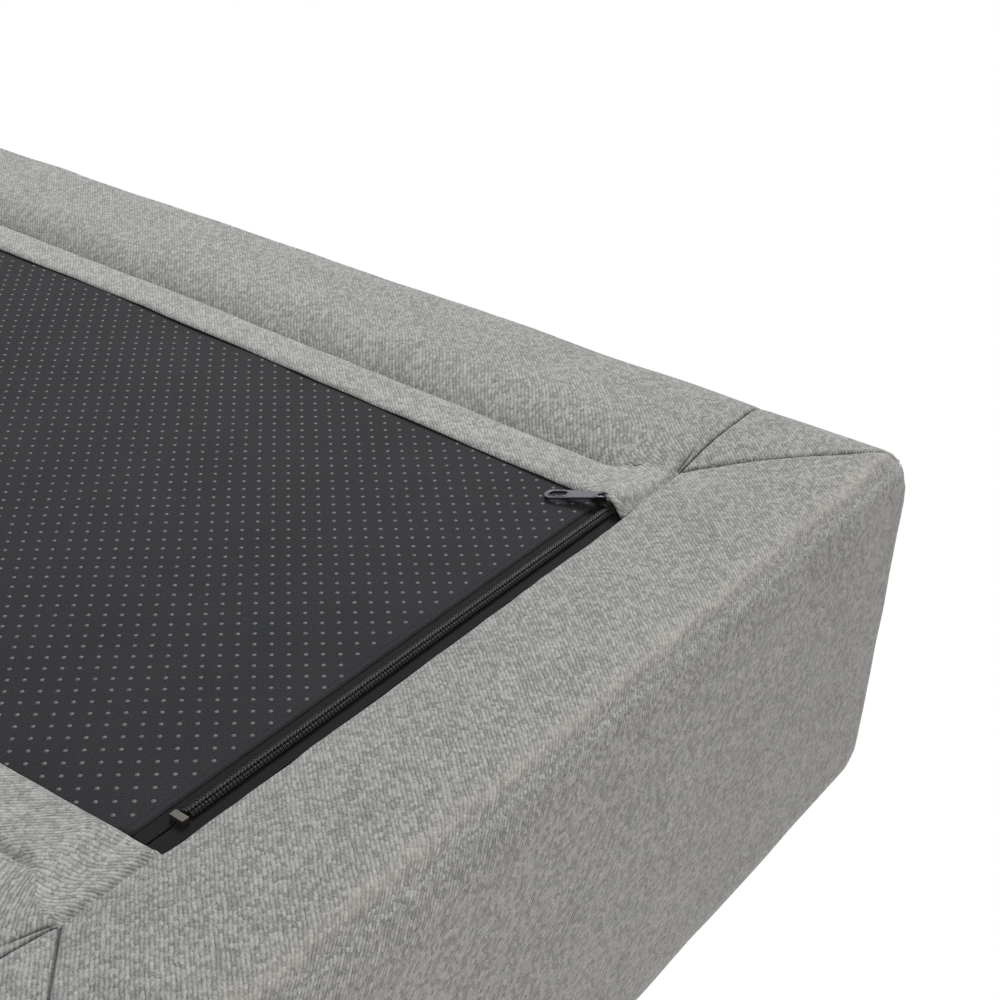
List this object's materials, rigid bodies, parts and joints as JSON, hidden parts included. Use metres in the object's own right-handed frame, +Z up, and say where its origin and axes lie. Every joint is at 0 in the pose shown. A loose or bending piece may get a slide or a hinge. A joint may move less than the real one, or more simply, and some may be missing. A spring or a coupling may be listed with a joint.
{
  "type": "dog ramp",
  "caption": "Low foam wedge ramp for a dog to reach a sofa or bed, with a zipped grey twill cover and an anti-slip underside panel in a shallow recess.",
  "frame": {"origin": "middle of the footprint, on the floor that the ramp rests on", "axes": "+X towards the high end that stands against the sofa, +Y to the dog's left as it walks up, +Z up"},
  "size_m": [0.8, 0.5, 0.1812],
  "materials": {
    "cover_fabric": "grey melange upholstery twill, dull, slightly brushed",
    "anti_slip_fabric": "charcoal woven fabric with small raised light grey grip dots",
    "zip_nylon": "black woven tape with a satin nylon coil",
    "zip_metal": "dark gunmetal plating, smooth, semi-gloss",
    "firm_foam": "cut open-cell polyurethane foam, firm",
    "soft_foam": "cut open-cell comfort foam, soft",
    "fibre": "white polyester fibre wadding"
  },
  "bodies": {
    "cover": {"side_panel_left": "cover_fabric", "side_panel_right": "cover_fabric", "corner_gusset_left": "cover_fabric", "corner_gusset_right": "cover_fabric", "high_end_panel": "cover_fabric", "toe_panel": "cover_fabric", "tread_panel": "cover_fabric", "lip_left": "cover_fabric", "lip_right": "cover_fabric", "lip_toe": "cover_fabric", "base_panel": "anti_slip_fabric", "zip_tape_border": "zip_nylon", "zip_tape_panel": "zip_nylon", "zip_coil_border": "zip_nylon", "zip_coil_panel": "zip_nylon", "zip_top_stop_border": "zip_metal", "zip_top_stop_panel": "zip_metal", "zip_bottom_stop": "zip_metal", "foam_core": "firm_foam", "comfort_foam": "soft_foam", "border_wadding": "fibre"},
    "slider": {"slider_body": "zip_metal", "slider_crown": "zip_metal"},
    "pull_link": {"pull_link": "zip_metal"},
    "pull": {"pull_tab": "zip_metal"}
  },
  "joints": [
    {"name": "slider_travel", "type": "slide", "parent": "cover", "child": "slider", "axis": [0, 1, 0], "range_m": [0, 0.24]},
    {"name": "pull_swivel", "type": "hinge", "parent": "slider", "child": "pull_link", "pos_m": [0.3126, -0.1335, 0.0035], "axis": [0, 0, -1], "range_deg": [-10, 20]},
    {"name": "pull_lift", "type": "hinge", "parent": "pull_link", "child": "pull", "pos_m": [0.3089, -0.13199, 0.0035], "axis": [-0.3778, -0.9259, 0], "range_deg": [0, 110]}
  ]
}
